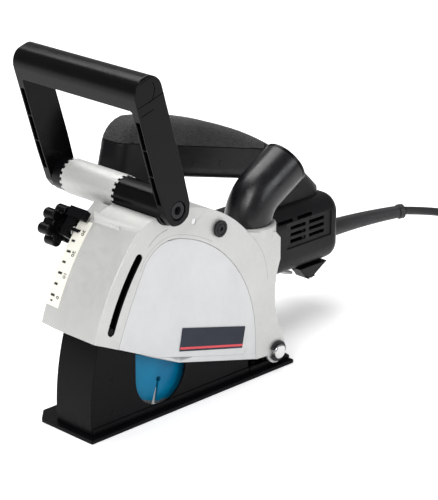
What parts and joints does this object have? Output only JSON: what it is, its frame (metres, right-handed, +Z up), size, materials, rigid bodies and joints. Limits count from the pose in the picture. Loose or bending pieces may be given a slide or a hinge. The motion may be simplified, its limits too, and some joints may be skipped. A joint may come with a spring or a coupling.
{
  "type": "wall chaser",
  "caption": "Hand-held wall chaser: plunging head with paired diamond blades over a flat sole, D handle, tilting front grip and power cord.",
  "frame": {"origin": "on the sole's underside, below the plunge pivot, on the mid-plane of the blades", "axes": "+X to the rear (cord end), +Y to the motor side, +Z up from the wall face"},
  "size_m": [0.635, 0.203, 0.3035],
  "materials": {
    "black_steel": "satin black paint",
    "cast_aluminium": "fine sand-cast, painted silver",
    "cover_plate": "smooth silver",
    "plate_dark": "slate enamel with a red stripe",
    "scale_label": "printed label",
    "bright_steel": "turned",
    "dark_steel": "black oxide",
    "chrome": "polished",
    "housing_black": "fine moulded texture",
    "gloss_black": "gloss",
    "grip_rubber": "leather-grained soft grip",
    "control_plastic": "moulded",
    "blade_blue": "blue enamel, bare segments",
    "machined_steel": "machined",
    "copper": "copper bars",
    "carbon": "carbon",
    "cord_rubber": "matt rubber sheath"
  },
  "bodies": {
    "base": {"sole_plate": "black_steel", "blade_guard": "black_steel", "guide_pin": "bright_steel", "pivot_bracket": "black_steel", "bracket_screws": "bright_steel", "pivot_pin": "bright_steel", "pivot_clips": "dark_steel", "return_spring": "dark_steel"},
    "head": {"cover_casting": "cast_aluminium", "side_cover": "cover_plate", "nameplate": "plate_dark", "depth_scale": "scale_label", "cover_bolt": "dark_steel", "cover_screw": "bright_steel", "dust_nozzle": "gloss_black", "gear_housing": "cast_aluminium", "motor_housing": "housing_black", "rear_foot": "housing_black", "foot_bracket": "cast_aluminium", "handle_left": "housing_black", "handle_right": "housing_black", "soft_grip": "grip_rubber", "switch_block": "control_plastic", "handle_screws": "bright_steel", "stator_core": "machined_steel", "air_baffle": "control_plastic", "rear_bearing_seat": "control_plastic", "carbon_brushes": "carbon", "brush_holders": "control_plastic", "spindle_bearing": "machined_steel", "spindle_tip_bearing": "machined_steel", "armature_bearings": "machined_steel", "cord_guard": "cord_rubber", "cord_tube": "cord_rubber", "cord_coil": "cord_rubber", "mains_plug": "cord_rubber"},
    "front_grip": {"front_grip": "gloss_black", "grip_collar_near": "gloss_black", "grip_collar_far": "gloss_black", "grip_rod": "bright_steel", "grip_bolts": "dark_steel", "grip_washers": "bright_steel"},
    "depth_stop": {"depth_stop": "black_steel"},
    "depth_knob": {"depth_knob": "gloss_black", "depth_stud": "chrome"},
    "spindle": {"spindle": "bright_steel", "inner_flange": "bright_steel", "blade_spacer": "machined_steel", "lock_nut": "bright_steel", "blade_near": "blade_blue", "blade_far": "blade_blue", "bevel_gear": "machined_steel"},
    "armature": {"armature_shaft": "machined_steel", "armature_core": "machined_steel", "commutator": "copper", "cooling_fan": "control_plastic", "bevel_pinion": "machined_steel"},
    "trigger": {"trigger": "control_plastic"},
    "lock_button": {"lock_button": "control_plastic"},
    "shaft_lock": {"shaft_lock": "control_plastic"}
  },
  "joints": [
    {"name": "plunge", "type": "hinge", "parent": "base", "child": "head", "pos_m": [0, 0, 0.0175], "axis": [0, -1, 0], "range_deg": [0, 17.5], "stiffness_Nm_per_rad": 6, "springref_deg": -76.2},
    {"name": "front_grip_tilt", "type": "hinge", "parent": "head", "child": "front_grip", "pos_m": [-0.13, 0, 0.1825], "axis": [0, 1, 0], "range_deg": [-45, 45]},
    {"name": "depth_setting", "type": "hinge", "parent": "head", "child": "depth_stop", "pos_m": [0, 0, 0.0175], "axis": [0, -1, 0], "range_deg": [0, 16]},
    {"name": "depth_knob_turn", "type": "hinge", "parent": "depth_stop", "child": "depth_knob", "pos_m": [-0.17067, 0.06, 0.15473], "axis": [0, 1, 0], "range_deg": [-180, 180]},
    {"name": "spindle_spin", "type": "hinge", "parent": "head", "child": "spindle", "pos_m": [-0.11918, 0, 0.07875], "axis": [0, 1, 0], "continuous": true},
    {"name": "armature_spin", "type": "hinge", "parent": "head", "child": "armature", "pos_m": [0, 0.07, 0.07875], "axis": [1, 0, 0], "continuous": true},
    {"name": "trigger_pull", "type": "hinge", "parent": "head", "child": "trigger", "pos_m": [-0.075, 0.07, 0.1755], "axis": [0, -1, 0], "range_deg": [0, 7], "stiffness_Nm_per_rad": 0.15, "springref_deg": -20.05},
    {"name": "lock_button_press", "type": "slide", "parent": "head", "child": "lock_button", "axis": [0, 1, 0], "range_m": [0, 0.003], "stiffness_N_per_m": 150, "springref_m": -0.004},
    {"name": "shaft_lock_press", "type": "slide", "parent": "head", "child": "shaft_lock", "axis": [0, 0, -1], "range_m": [0, 0.003], "stiffness_N_per_m": 200, "springref_m": -0.004}
  ],
  "couplings": [
    {"joint": "armature_spin", "follows": "spindle_spin", "ratio": 2.75}
  ]
}
